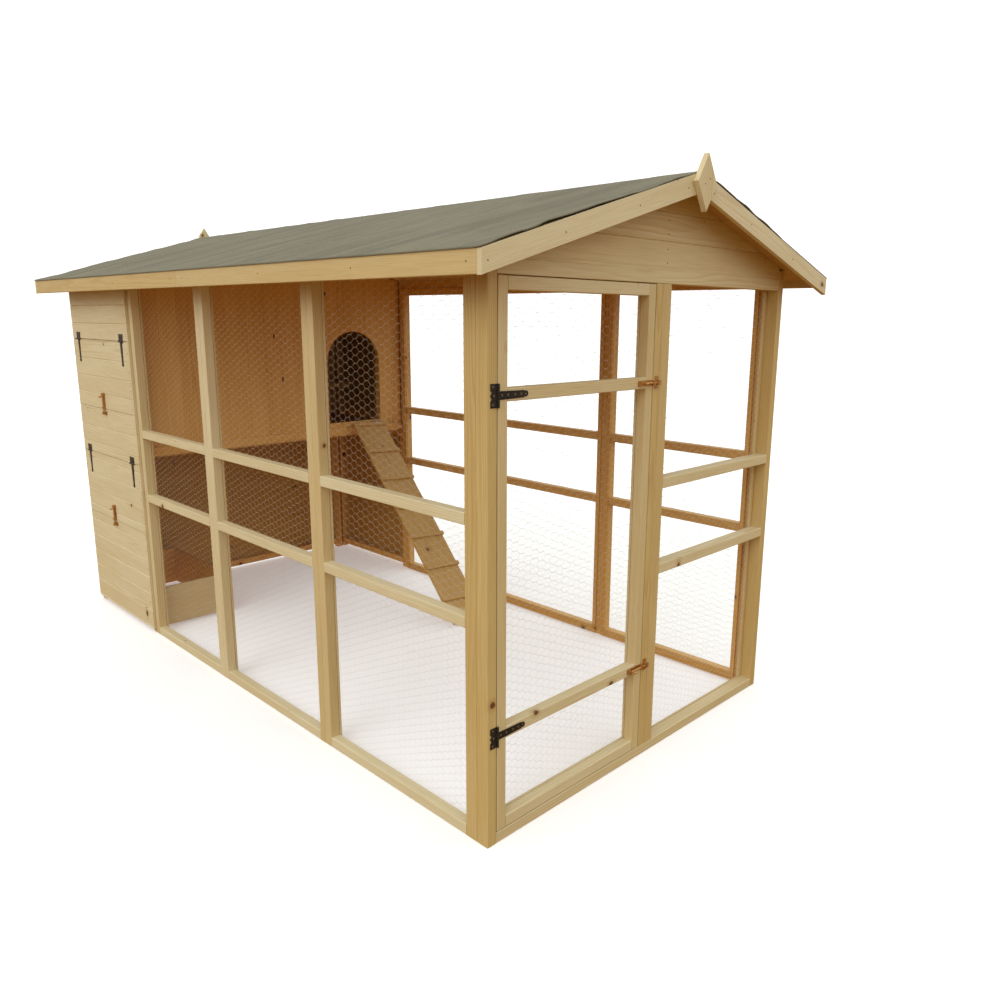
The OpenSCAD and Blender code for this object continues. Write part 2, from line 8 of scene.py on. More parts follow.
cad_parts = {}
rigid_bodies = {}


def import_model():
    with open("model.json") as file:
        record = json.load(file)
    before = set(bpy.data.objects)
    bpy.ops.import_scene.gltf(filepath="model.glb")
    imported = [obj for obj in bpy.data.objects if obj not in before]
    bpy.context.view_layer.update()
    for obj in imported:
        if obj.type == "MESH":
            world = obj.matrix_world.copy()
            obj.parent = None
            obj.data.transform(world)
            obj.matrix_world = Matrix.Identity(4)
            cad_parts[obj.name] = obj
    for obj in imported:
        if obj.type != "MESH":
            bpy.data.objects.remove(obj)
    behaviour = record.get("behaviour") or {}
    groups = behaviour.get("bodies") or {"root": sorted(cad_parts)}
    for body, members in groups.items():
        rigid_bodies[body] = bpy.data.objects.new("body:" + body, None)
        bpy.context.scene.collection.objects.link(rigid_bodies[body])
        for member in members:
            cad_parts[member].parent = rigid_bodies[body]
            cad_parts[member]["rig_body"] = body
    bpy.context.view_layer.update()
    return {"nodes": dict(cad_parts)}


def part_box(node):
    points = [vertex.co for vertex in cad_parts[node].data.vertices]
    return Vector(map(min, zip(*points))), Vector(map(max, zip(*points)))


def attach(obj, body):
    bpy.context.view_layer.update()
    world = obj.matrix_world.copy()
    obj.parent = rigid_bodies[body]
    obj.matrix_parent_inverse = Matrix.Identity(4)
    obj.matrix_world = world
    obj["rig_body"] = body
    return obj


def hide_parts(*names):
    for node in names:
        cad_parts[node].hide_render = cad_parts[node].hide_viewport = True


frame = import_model()
nodes = frame["nodes"]
X, Y, Z = Vector((1, 0, 0)), Vector((0, 1, 0)), Vector((0, 0, 1))


# ---------------------------------------------------------------- nodes

def rgba(value):
    """A colour of three numbers with its alpha; anything else as it is."""
    return (*value, 1) if isinstance(value, tuple) and len(value) == 3 else value


class Net:
    """Short ways to write the nodes of a material or a world. A value is a socket or a constant."""

    def __init__(self, owner):
        owner.use_nodes = True
        self.owner = owner
        self.tree = owner.node_tree

    def new(self, kind):
        return self.tree.nodes.new("ShaderNode" + kind)

    def put(self, socket, value):
        if isinstance(value, bpy.types.NodeSocket):
            self.tree.links.new(value, socket)
        else:
            socket.default_value = rgba(value) if socket.type == "RGBA" else value

    def fill(self, node, sockets):
        for name, value in sockets.items():
            self.put(node.inputs[name.replace("_", " ")], value)
        return node

    def node(self, kind, **sockets):
        return self.fill(self.new(kind), sockets)

    def math(self, op, a, b=0.0, c=0.0):
        n = self.new("Math")
        n.operation = op
        for socket, value in zip(n.inputs, (a, b, c)):
            self.put(socket, value)
        return n.outputs[0]

    def add(self, a, b):
        return self.math("ADD", a, b)

    def sub(self, a, b):
        return self.math("SUBTRACT", a, b)

    def mul(self, a, b):
        return self.math("MULTIPLY", a, b)

    def div(self, a, b):
        return self.math("DIVIDE", a, b)

    def length(self, a, b):
        """Of a vector with the components a and b."""
        return self.math("SQRT", self.add(self.mul(a, a), self.mul(b, b)))

    def xyz(self, vector):
        return self.node("SeparateXYZ", Vector=vector).outputs

    def plane(self, x, y):
        return self.node("CombineXYZ", X=x, Y=y).outputs[0]

    def stretch(self, vector, by):
        n = self.new("VectorMath")
        n.operation = "MULTIPLY"
        self.put(n.inputs[0], vector)
        n.inputs[1].default_value = by
        return n.outputs[0]

    def object_place(self):
        return self.new("TexCoord").outputs["Object"]

    def attribute(self, name, output):
        n = self.new("Attribute")
        n.attribute_name = name
        return n.outputs[output]

    def noise(self, vector, scale, detail=2.0, rough=0.5, distort=0.0):
        return self.node("TexNoise", Vector=vector, Scale=scale, Detail=detail, Roughness=rough,
                         Distortion=distort).outputs["Fac"]

    def cells(self, vector, scale, dimensions="3D"):
        n = self.new("TexVoronoi")
        n.voronoi_dimensions = dimensions
        return self.fill(n, {"Vector": vector, "Scale": scale}).outputs

    def pick(self, cells):
        """A random number for each cell."""
        return self.node("SeparateColor", Color=cells["Color"]).outputs[0]

    def step(self, value, lo, hi, out_lo=0.0, out_hi=1.0):
        """Runs smoothly from out_lo to out_hi while the value goes from lo to hi."""
        n = self.new("MapRange")
        n.interpolation_type = "SMOOTHSTEP"
        self.fill(n, {"Value": value, "From Min": lo, "From Max": hi, "To Min": out_lo,
                      "To Max": out_hi})
        return n.outputs["Result"]

    def mix(self, fac, a, b, blend="MIX"):
        n = self.new("Mix")
        n.data_type, n.blend_type = "RGBA", blend
        self.put(n.inputs["Factor"], fac)
        colours = {i.name: i for i in n.inputs if i.type == "RGBA"}
        self.put(colours["A"], a)
        self.put(colours["B"], b)
        return next(o for o in n.outputs if o.type == "RGBA")

    def bump(self, height, distance, strength=1.0, after=None):
        n = self.node("Bump", Height=height, Distance=distance, Strength=strength)
        if after:
            self.put(n.inputs["Normal"], after)
        return n.outputs["Normal"]

    def finish(self, **sockets):
        self.fill(self.tree.nodes["Principled BSDF"], sockets)
        return self.owner


def material(name):
    return Net(bpy.data.materials.new(name))


# ---------------------------------------------------------------- materials

KNOT_CELL_LENGTH = 0.36     # metres along the grain; a cell has one knot or none
KNOT_CELL_TURN = 0.85       # radians round the heart
KNOT_RADIUS = 0.0085        # metres, the largest knot's
RING_WIDTH = 0.0046         # metres, one year's growth


def pine(name, pale, warm, knot, rings=1.0, rough=0.52, clean=0.80, painted_shade=None, out="X"):
    """Planed softwood. The attribute grain holds, for each timber, metres along the grain and
    across it from the heart of the tree, so that faces show grain and ends show rings. The
    attribute tone runs from sapwood, pale, to heartwood, warm. clean is the share without knots.
    The darker colour for shade is painted shade on all the faces that don't look along the axis out."""
    m = material(name)
    grain = m.attribute("grain", "Vector")
    tone = m.attribute("tone", "Fac")
    along, across, deep = m.xyz(grain)
    radius = m.length(across, deep)
    turn = m.math("ARCTAN2", deep, across)

    # knots: branches that leave the heart, at most one to a cell of a flat cell texture
    here = m.plane(m.div(along, KNOT_CELL_LENGTH), m.div(turn, KNOT_CELL_TURN))
    cells = m.cells(here, 1.0, "2D")
    at, middle = m.xyz(here), m.xyz(cells["Position"])
    off_along = m.mul(m.sub(at[0], middle[0]), KNOT_CELL_LENGTH * 0.7)
    off_round = m.mul(m.mul(m.sub(at[1], middle[1]), KNOT_CELL_TURN), radius)
    pick = m.pick(cells)
    size = m.step(pick, clean, 1.0, 0.0, KNOT_RADIUS)
    wobble = m.mul(m.sub(m.noise(grain, 90.0), 0.5), 0.004)
    near = m.div(m.add(m.length(off_along, off_round), wobble), m.add(size, 0.0002))
    core = m.step(near, 0.75, 1.0, 1.0, 0.0)
    halo = m.step(near, 0.9, 2.6, 1.0, 0.0)

    # growth rings, bent by slow waviness and pushed aside by knots
    slow = m.noise(m.stretch(grain, (1.1, 7.0, 7.0)), 1.0, 2.0)
    bent = m.add(m.add(radius, m.mul(m.sub(slow, 0.5), 0.030)), m.mul(halo, 0.0035))
    ring = m.math("FRACT", m.div(bent, RING_WIDTH))
    latewood = m.mul(m.step(ring, 0.35, 0.86), m.step(ring, 0.93, 1.0, 1.0, 0.0))
    clear = m.step(m.noise(m.stretch(grain, (0.7, 5.0, 5.0)), 1.0, 1.0), 0.35, 0.75, 0.25, 1.0)
    fibre = m.noise(m.stretch(grain, (9.0, 420.0, 420.0)), 1.0, 3.0, 0.62)
    pores = m.noise(m.stretch(grain, (30.0, 1100.0, 1100.0)), 1.0, 2.0, 0.6)
    patch = m.noise(m.stretch(grain, (1.7, 14.0, 14.0)), 1.0, 3.0, 0.55)

    colour = m.mix(tone, pale, warm)
    # painted shade: the faces that don't look along the axis out get the darker colour
    if painted_shade:
        facing = m.xyz(m.new("NewGeometry").outputs["True Normal"])["XYZ".index(out)]
        colour = m.mix(m.step(facing, 0.25, 0.6, 1.0, 0.0), colour, painted_shade)
    colour = m.mix(m.step(patch, 0.28, 0.72, 0.0, 0.9), colour, (0.93, 0.885, 0.80), "MULTIPLY")
    late = m.mix(1.0, colour, (0.80, 0.67, 0.49), "MULTIPLY")
    dark = m.mix(1.0, colour, (0.70, 0.56, 0.40), "MULTIPLY")
    colour = m.mix(m.mul(latewood, m.mul(clear, 0.62 * rings)), colour, late)
    colour = m.mix(m.step(fibre, 0.30, 0.62, 0.28, 0.0), colour, dark)
    ringed = m.mul(halo, m.step(pick, clean, clean + 0.06, 0.0, 0.55))
    colour = m.mix(ringed, colour, dark)
    knot_colour = m.mix(m.step(near, 0.15, 0.9), tuple(c * 0.55 for c in knot), knot)
    colour = m.mix(core, colour, knot_colour)

    height = m.add(m.sub(m.mul(fibre, 0.6), m.mul(latewood, 0.25)), m.mul(core, -0.5))
    normal = m.bump(height, 0.0005, 0.5, m.bump(pores, 0.0002, 0.35))
    dull = m.add(m.step(fibre, 0.2, 0.8, rough + 0.10, rough - 0.05), m.mul(core, -0.12))
    return m.finish(Base_Color=colour, Roughness=dull, Normal=normal)


PALE, WARM, KNOT = (0.770, 0.690, 0.460), (0.640, 0.475, 0.195), (0.200, 0.082, 0.028)
# boards show their rings more, are duller and have fewer knots
BOARD_LOOK = dict(rings=1.1, rough=0.56, clean=0.91)
PINE = pine("planed_pine", PALE, WARM, (0.215, 0.090, 0.030))
BOARD = pine("boarding_pine", PALE, WARM, KNOT, **BOARD_LOOK)
# the wood inside the house and in the run's shade, darker and more orange: painted shade
INSIDE_SHADE_PINE = pine("pine_painted_inside_shade", (0.770, 0.490, 0.165), (0.720, 0.430, 0.125), (0.160, 0.060, 0.020),
             **BOARD_LOOK)
# pieces whose outer faces are plain pine and whose other faces carry painted shade, as dark as the
# inside of the house
RAIL_PAINTED_SHADE, BOARD_PAINTED_SHADE = (0.750, 0.466, 0.149), (0.490, 0.290, 0.085)
RIGHT_RAILS = pine("planed_pine_right", PALE, WARM, KNOT, clean=0.85, painted_shade=RAIL_PAINTED_SHADE)
RIGHT_BOARDS = pine("boarding_pine_right", PALE, WARM, KNOT, painted_shade=BOARD_PAINTED_SHADE, **BOARD_LOOK)
BACK_BOARDS = pine("boarding_pine_back", PALE, WARM, KNOT, painted_shade=BOARD_PAINTED_SHADE, out="Y", **BOARD_LOOK)
# the ramp's wood, darker and more orange than the rest: painted shade of the run
RAMP = pine("ramp_pine", (0.650, 0.430, 0.145), (0.625, 0.408, 0.132), KNOT)
SAWN = pine("rough_pine", (0.640, 0.470, 0.240), (0.600, 0.400, 0.170), (0.160, 0.065, 0.025),
            rings=1.2, rough=0.70)


def felt_material():
    """Bitumen felt with a pressed coat of mineral granules, some of them worn off."""
    m = material("mineral_felt")
    at = m.object_place()
    grit = m.cells(at, 620.0)
    chip = m.pick(grit)
    fine = m.noise(at, 900.0, 2.0, 0.7)
    cloud = m.noise(m.stretch(at, (1.0, 0.55, 1.0)), 5.5, 5.0, 0.62, 0.6)
    streak = m.noise(m.stretch(at, (2.2, 16.0, 2.2)), 1.0, 3.0, 0.6)
    x, y, _ = m.xyz(at)
    slant = m.math("MULTIPLY_ADD", m.math("ABSOLUTE", x), -0.22, y)
    ripple_shade = m.noise(m.plane(m.mul(slant, 8.0), m.mul(x, 1.3)), 1.0, 2.0, 0.5, 0.35)
    bald = m.step(m.noise(at, 42.0, 4.0, 0.7), 0.66, 0.78)
    colour = m.mix(m.step(chip, 0.15, 0.9), (0.105, 0.092, 0.055), (0.245, 0.215, 0.134))
    colour = m.mix(m.step(cloud, 0.3, 0.72, 0.0, 0.55), colour, (0.210, 0.190, 0.121))
    colour = m.mix(m.step(streak, 0.40, 0.75, 0.0, 0.35), colour, (0.112, 0.095, 0.062))
    # darker along the slanting waves: painted shade of the waves, and some dust in their hollows
    colour = m.mix(m.step(ripple_shade, 0.44, 0.66, 0.0, 0.42), colour, (0.098, 0.085, 0.058))
    colour = m.mix(m.mul(bald, 0.35), colour, (0.060, 0.054, 0.040))
    normal = m.bump(m.add(grit["Distance"], fine), 0.0008, 0.55)
    return m.finish(Base_Color=colour, Roughness=m.step(chip, 0, 1, 0.80, 0.96), Normal=normal)


def metal(name, base, worn, metallic, rough, wear=0.5, scratch=0.3, shine=0.5):
    """Metal that is worn on its edges, by wear, and in specks, by scratch."""
    m = material(name)
    at = m.object_place()
    edge = m.new("NewGeometry").outputs["Pointiness"]
    blot = m.noise(at, 260.0, 4.0, 0.65)
    fine = m.noise(at, 1500.0, 2.0, 0.6)
    rub = m.mul(m.step(edge, 0.52, 0.62), m.step(blot, 0.35, 0.65))
    speck = m.step(blot, 0.62, 0.72, 0.0, scratch)
    colour = m.mix(m.math("MAXIMUM", m.mul(rub, wear), speck), base, worn)
    normal = m.bump(fine, 0.0003, 0.35, m.bump(blot, 0.0005, 0.3))
    return m.finish(Base_Color=colour, Roughness=m.step(blot, 0.2, 0.8, rough - 0.1, rough + 0.14),
                    Normal=normal, Metallic=metallic, Specular_IOR_Level=shine)


def wire_material():
    """Wire with a dull coat of zinc."""
    m = material("galvanised_wire")
    fine = m.noise(m.object_place(), 700.0, 3.0, 0.6)
    return m.finish(Base_Color=(0.74, 0.69, 0.61), Roughness=m.step(fine, 0.3, 0.7, 0.45, 0.65),
                    Normal=m.bump(fine, 0.0002, 0.4), Metallic=0.3)


BLACK = metal("black_japanned_steel", (0.009, 0.009, 0.009), (0.085, 0.062, 0.042), 0.2, 0.42,
              shine=0.28)
BRASS = metal("tarnished_brassed_steel", (0.640, 0.350, 0.115), (0.240, 0.105, 0.040), 0.85, 0.42,
              wear=0.6, scratch=0.5)
STEEL = metal("zinc_steel", (0.42, 0.42, 0.41), (0.18, 0.15, 0.12), 0.9, 0.45)
SCREW = metal("rusty_screw", (0.170, 0.115, 0.070), (0.070, 0.038, 0.020), 0.55, 0.45,
              wear=0.4, scratch=0.6)
NAIL = metal("dull_nail", (0.115, 0.075, 0.045), (0.05, 0.03, 0.02), 0.5, 0.6)
WIRE = wire_material()


# ---------------------------------------------------------------- timber

WELD = 2e-5                     # metres: vertices of a CAD mesh closer than this are one
FLAT = 0.02                     # radians: triangles that differ by less are one flat face
NARROWEST = 0.004               # metres: no board is cut narrower than this
TIMBER_HEART = (0.03, 0.10)     # metres from a timber's middle to the heart of its tree
BOARD_HEART = (0.03, 0.09)
TIMBER_EDGE = 0.0007            # metres: how wide the edges are worn round
BOARD_EDGE = 0.0005

# the lowest and highest tone of a node's timbers, then of its rails where those differ
TONE = {
    "left_house_boards": (0.0, 0.12), "upper_flap": (0.0, 0.12), "lower_flap": (0.0, 0.12),
    "front_gable_boards": (0.25, 0.50), "front_gable_frame": (0.88, 1.0, 0.2, 0.5),
    "left_run_frame": (0.25, 0.50, 0.0, 0.2), "door_frame": (0.40, 0.60, 0.2, 0.35),
    "fascia_boards": (0.80, 0.95), "barge_boards": (0.08, 0.2), "finials": (0.15, 0.3),
    "left_run_beading": (0.3, 0.6), "door_beading": (0.3, 0.6), "dust_bath_box": (0.3, 0.4),
    "ramp_board": (0.85, 1.0), "ramp_cleats": (0.75, 1.0), "threshold_rail": (0.2, 0.4),
    "house_front_boards": (0.0, 0.8), "right_run_frame": (0.1, 0.5),
    "right_house_boards": (0.0, 0.18), "back_gable_boards": (0.05, 0.3)}
OTHER_TONE = (0.65, 1.0)
# the tone of the left run's stiles whose middles lie between two places along y, from the front
LEFT_STILES = {(-1.46, -1.40): 0.97, (-0.76, -0.60): 0.66, (0.05, 0.15): 0.12, (0.70, 0.80): 0.35}


def solids(node):
    """The separate solids of a CAD node as welded bmeshes with whole faces."""
    bm = bmesh.new()
    bm.from_mesh(nodes[node].data)
    bmesh.ops.remove_doubles(bm, verts=bm.verts[:], dist=WELD)
    bmesh.ops.dissolve_limit(bm, angle_limit=FLAT, verts=bm.verts[:], edges=bm.edges[:])
    bm.verts.ensure_lookup_table()
    seen, found = set(), []
    for start in bm.verts:
        if start.index in seen:
            continue
        island, stack = [], [start]
        seen.add(start.index)
        while stack:
            a = stack.pop()
            island.append(a)
            for e in a.link_edges:
                b = e.other_vert(a)
                if b.index not in seen:
                    seen.add(b.index)
                    stack.append(b)
        if len(island) < 4:     # left over from the weld, not a solid
            continue
        faces = {f for a in island for f in a.link_faces}
        one = bmesh.new()
        new = {a: one.verts.new(a.co) for a in island}
        for f in sorted(faces, key=lambda f: f.index):
            one.faces.new([new[a] for a in f.verts])
        found.append(one)
    bm.free()

    def middle(solid):
        return [round(sum(v.co[i] for v in solid.verts) / len(solid.verts), 4) for i in range(3)]

    return sorted(found, key=middle)


def cut(solid, axis, places):
    """Slices of a solid between the given places along an axis, each closed again."""
    reach = [v.co[axis] for v in solid.verts]
    lo, hi = min(reach), max(reach)
    inside = [p for p in places if lo + NARROWEST < p < hi - NARROWEST]
    ends = [lo - 1, *sorted(inside), hi + 1]
    normal, slices = (X, Y, Z)[axis], []
    for a, b in zip(ends, ends[1:]):
        part = solid.copy()
        for place, side in ((a, -normal), (b, normal)):
            geom = part.verts[:] + part.edges[:] + part.faces[:]
            done = bmesh.ops.bisect_plane(part, geom=geom, plane_co=normal * place, plane_no=side,
                                          clear_outer=True)
            rim = [e for e in done["geom_cut"] if isinstance(e, bmesh.types.BMEdge)]
            if rim:
                bmesh.ops.holes_fill(part, edges=rim)
        if part.verts:
            slices.append(part)
    return slices


def square_to(g):
    """An axis across the grain: a main one for a timber along a main one."""
    if abs(g.x) + abs(g.y) + abs(g.z) > 1.01:
        return g.orthogonal().normalized()
    return Y if abs(g.x) > 0.5 else X


def stile_tone(mid, lying, tone):
    """The tone of a timber of the left run: its own for the stiles that are listed."""
    for (front, back), own in LEFT_STILES.items():
        if not lying and front < mid.y < back:
            return own
    return tone


def add_grain(parts, rng, along, heart, tones, own=None):
    """Joins solids into one mesh, each with its own grain frame and tone. The grain lies along
    the longest edge where along is None."""
    verts, faces, grain, tone = [], [], [], []
    for bm in parts:
        bm.verts.index_update()
        co = [v.co.copy() for v in bm.verts]
        mid = sum(co, Vector()) / len(co)
        if along is None:
            longest = max(bm.edges, key=lambda e: e.calc_length())
            g = (longest.verts[1].co - longest.verts[0].co).normalized()
        else:
            g = along
        v = square_to(g)
        w = g.cross(v).normalized()
        turn, away = rng.uniform(0, 2 * math.pi), rng.uniform(*heart)
        shift = Vector((rng.uniform(0, 40), away * math.cos(turn), away * math.sin(turn)))
        lying = abs(g.z) < 0.5 and len(tones) > 2
        t = rng.uniform(*(tones[2:] if lying else tones[:2]))
        if own:
            t = own(mid, lying, t)
        base = len(verts)
        for p in co:
            q = p - mid
            verts.append(p)
            grain.append((q.dot(g) + shift.x, q.dot(v) + shift.y, q.dot(w) + shift.z))
            tone.append(t)
        faces += [[base + a.index for a in f.verts] for f in bm.faces]
        bm.free()
    return verts, faces, grain, tone


def piece(name, verts, faces, body, mat, replaces=(), grain=None, tone=None):
    """A mesh object that rides on a body."""
    me = bpy.data.meshes.new(name)
    me.from_pydata([tuple(v) for v in verts], [], faces)
    if grain:
        a = me.attributes.new("grain", "FLOAT_VECTOR", "POINT")
        a.data.foreach_set("vector", [c for g in grain for c in g])
        a = me.attributes.new("tone", "FLOAT", "POINT")
        a.data.foreach_set("value", tone)
    me.update()
    o = bpy.data.objects.new(name, me)
    bpy.context.scene.collection.objects.link(o)
    me.materials.append(mat)
    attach(o, body)
    if replaces:
        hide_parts(*replaces)
    return o


def soften(o, width):
    """Wears a piece's edges round."""
    b = o.modifiers.new("worn_edges", "BEVEL")
    b.width, b.segments = width, 2
    b.limit_method, b.angle_limit = "ANGLE", math.radians(40)
    b.harden_normals = False
    return o


def wood(node, mat=PINE, along=None, heart=TIMBER_HEART, split=True, cuts=None, edge=TIMBER_EDGE):
    """Wooden pieces in the exact shape of a CAD node: one for each solid, or one for the whole
    node without split. cuts is the axis and the places at which its solids are cut into boards."""
    rng = random.Random("timber " + node)
    groups = [cut(bm, *cuts) if cuts else [bm] for bm in solids(node)]
    if not split:
        groups = [[bm for group in groups for bm in group]]
    own = stile_tone if node == "left_run_frame" else None
    made = []
    for i, group in enumerate(groups):
        v, f, g, t = add_grain(group, rng, along, heart, TONE.get(node, OTHER_TONE), own)
        name = node + "_wood" if len(groups) == 1 else f"{node}_wood_{i + 1:02d}"
        o = piece(name, v, f, nodes[node]["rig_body"], mat, (node,), g, t)
        made.append(soften(o, edge))
    return made


def boarding(node, mat, axis, joints, along=None):
    """A boarded face as one piece, with each of its boards a solid of its own."""
    return wood(node, mat, along, BOARD_HEART, False, (axis, joints), BOARD_EDGE)


for n in ("front_gable_frame", "left_run_frame", "left_house_frame", "fascia_boards",
          "barge_boards", "door_frame"):
    wood(n)
wood("right_run_frame", RIGHT_RAILS)
# frames inside the house and under the roof get the pine with painted shade
for n in ("back_gable_frame", "right_house_frame", "house_front_frame", "roof_bearers"):
    wood(n, INSIDE_SHADE_PINE)
for n in ("left_run_beading", "front_bay_beading", "door_beading"):
    wood(n, split=False)
for n in ("ramp_cleats", "ramp_board"):
    wood(n, RAMP, split=False)
for o in wood("dust_bath_box")[1:]:      # only the front board is plain pine; the others carry the painted shade of the inside
    o.data.materials[0] = INSIDE_SHADE_PINE
# small pieces in the run's shade get the pine with painted shade
for n in ("right_run_beading", "threshold_rail", "perch"):
    wood(n, INSIDE_SHADE_PINE, split=False)
wood("finials", along=Z)
wood("floor_bearers", SAWN, split=False)

# the joints between boards, with the CAD's steps, in metres
HALF_WIDTH = 0.7625         # of the coop over its walls
SIDE_STEP, GABLE_STEP, FLOOR_STEP = 0.083, 0.086, 0.090
side_joints = [0.857 + SIDE_STEP * k for k in range(-11, 11)]
gable_joints = [1.629 + GABLE_STEP * k for k in range(-20, 5)]
wall_joints = [1.163 + GABLE_STEP * k - HALF_WIDTH for k in range(-14, 6)]
floor_joints = [0.045 + FLOOR_STEP * k - HALF_WIDTH for k in range(1, 16)]
roof_joints = [s * (HALF_WIDTH + 0.106 - SIDE_STEP * k) for k in range(1, 10) for s in (-1, 1)]
for n in ("left_house_boards", "upper_flap", "lower_flap"):
    boarding(n, BOARD, 2, side_joints)
boarding("right_house_boards", RIGHT_BOARDS, 2, side_joints)
boarding("front_gable_boards", BOARD, 2, gable_joints)
boarding("back_gable_boards", BACK_BOARDS, 2, gable_joints)
# the house's front wall, inside the run, gets the pine with painted shade
boarding("house_front_boards", INSIDE_SHADE_PINE, 0, wall_joints, along=Z)
boarding("house_floor", SAWN, 0, floor_joints, along=Y)
boarding("roof_boards", SAWN, 0, roof_joints, along=Y)


# ---------------------------------------------------------------- wire netting

# all in metres
NET_PITCH = 0.0245      # from a twist to the next one above it
NET_STEP = 0.027        # from one twist to the next along a pair of wires
NET_TWIST = 0.012       # a twist's length
NET_STRAY = 0.0022      # how far the netting strays from its pattern
NET_OVER, WIRE_OVER = 0.002, 0.004      # how far past the plate's edges the pattern may start or end
WIRE_RADIUS = 0.00031
# the three points of a wire in a twist: how far above the middle and how far out of the plane
TWIST = ((-0.00045, -0.00012), (0.00045, 0.0), (-0.00045, 0.00012))
noise.seed_set(7)       # noise_vector is shifted by the time of day until it is seeded


def netting(name, node, box, side, seed):
    """Hexagonal netting in the plate of a CAD node. The roll lies across the panel: pairs of wires
    run sideways, twist together, part and meet the pair above or below."""
    lo, hi = box
    wide, high = (hi - lo).dot(side), hi.z - lo.z
    out = side.cross(Z).normalized()
    corner = lo + out * ((hi - lo) / 2).dot(out)
    here = Vector((seed * 3.1, seed * 1.7, seed * 0.9))
    verts, faces = [], []

    def place(x, z, depth):
        """A point of the pattern, a little astray but inside the plate."""
        stray = noise.noise_vector(Vector((x * 2.6, z * 2.2, 0)) + here) * NET_STRAY
        x = min(max(x + stray.x, WIRE_RADIUS), wide - WIRE_RADIUS)
        z = min(max(z + stray.y, WIRE_RADIUS), high - WIRE_RADIUS)
        return corner + side * x + Z * z + out * depth

    def tube(path):
        """A wire with a three-sided section."""
        base, last = len(verts), len(path) - 1
        for i, p in enumerate(path):
            ahead = (path[min(i + 1, last)] - path[max(i - 1, 0)]).normalized()
            a = ahead.cross(out).normalized()
            b = ahead.cross(a).normalized()
            for k in range(3):
                turn = 2 * math.pi * k / 3
                verts.append(p + (a * math.cos(turn) + b * math.sin(turn)) * WIRE_RADIUS)
        for i in range(last):
            for k in range(3):
                q, s = base + 3 * i + k, base + 3 * i + (k + 1) % 3
                faces.append((q, s, s + 3, q + 3))
        faces.append((base + 2, base + 1, base))
        faces.append(tuple(base + 3 * last + k for k in range(3)))

    for line in range(int(high / NET_PITCH) + 2):
        for half in (-1, 1):
            paths = [[]]
            for j in range(int(wide / NET_STEP) + 2):
                odd = j % 2 == 1
                z = line * NET_PITCH + (half * NET_PITCH / 2 if odd else 0)
                if not -NET_OVER < z < high + NET_OVER:
                    paths.append([])
                    continue
                flip = -half if odd else half
                for k, (up, depth) in enumerate(TWIST):
                    x = j * NET_STEP + NET_TWIST * k / 2
                    if x < wide + WIRE_OVER:
                        paths[-1].append(place(x, z + flip * up, flip * depth))
            for path in paths:
                if len(path) > 3:
                    tube(path)
    return piece(name, verts, faces, nodes[node]["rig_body"], WIRE, (node,))


def boxes_of(node):
    """The corners of each solid of a CAD node."""
    boxes = []
    for bm in solids(node):
        columns = list(zip(*(v.co for v in bm.verts)))
        boxes.append((Vector([min(c) for c in columns]), Vector([max(c) for c in columns])))
        bm.free()
    return boxes


for node, side in (("left_run_mesh", Y), ("right_run_mesh", Y), ("front_bay_mesh", X),
                   ("door_mesh", X)):
    for i, box in enumerate(boxes_of(node)):
        netting(f"{node}_netting_{i + 1}", node, box, side, i + len(node))


# ---------------------------------------------------------------- roofing felt

def felt():
    """One sheet over both slopes, with slow waves, nailed flat along the eaves and a little loose
    along the verges."""
    thick = 0.0026
    across, down = 96, 330          # cells from eaves to eaves and along the ridge
    fold, verge = 0.006, 0.03       # half the width of the ridge's curve, and of the loose strips
    wave, dent, flap = 0.0024, 0.0016, 0.005    # the heights of the three kinds of unevenness
    lo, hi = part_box("roof_felt")
    half = (hi.x - lo.x) / 2
    ridge = hi.z - 0.0035           # the underside, low enough for the waves to stay in the box
    fall = (ridge - lo.z) / half
    rng = random.Random(11)
    waves = [(rng.uniform(0, 6.28), rng.uniform(0.10, 0.26), rng.uniform(-0.35, 0.35))
             for _ in range(7)]
    under = []
    for i in range(across + 1):
        s = -1 + 2 * i / across
        x, out = s * half, abs(s)
        for j in range(down + 1):
            y = lo.y + (hi.y - lo.y) * j / down
            skew = abs(x) * (1 if x > 0 else -0.7)
            rise = sum(math.sin(start + 2 * math.pi * (y + slant * skew) / length)
                       for start, length, slant in waves)
            rough = noise.noise(Vector((x * 3.0, y * 5.0, 2.0 * (x > 0))))
            lift = wave * rise / 2.2 * min(1.0, 0.25 + 1.2 * out) + dent * rough
            lift *= min(1.0, 0.15 + 11.0 * (1 - out))
            loose = max(0.0, 1 - min(y - lo.y, hi.y - y) / verge)
            lift += loose * flap * max(0.0, noise.noise(Vector((x * 17.0, 7.0, y))) + 0.3)
            z = ridge - fall * abs(x) + max(0.0, lift) + 0.0002
            if abs(x) < fold:
                z -= (fold - abs(x)) ** 2 / (2 * fold) * fall
            under.append(Vector((x, y, z)))
    verts = under + [v + Z * thick for v in under]
    n, w = len(under), down + 1
    faces = []
    for i in range(across):
        for j in range(down):
            a, b, c, d = i * w + j, (i + 1) * w + j, (i + 1) * w + j + 1, i * w + j + 1
            faces += [(a, d, c, b), (n + a, n + b, n + c, n + d)]
    end = across * w
    for j in range(down):
        faces += [(j, n + j, n + j + 1, j + 1),
                  (end + j + 1, n + end + j + 1, n + end + j, end + j)]
    for i in range(across):
        faces += [(i * w, (i + 1) * w, n + (i + 1) * w, n + i * w),
                  ((i + 1) * w - 1, n + (i + 1) * w - 1, n + (i + 2) * w - 1, (i + 2) * w - 1)]
    o = piece("mineral_felt_sheet", verts, faces, "coop", felt_material(), ("roof_felt",))
    for p in o.data.polygons:
        p.use_smooth = p.index < 2 * across * down
    return o


felt()


# ---------------------------------------------------------------- metal

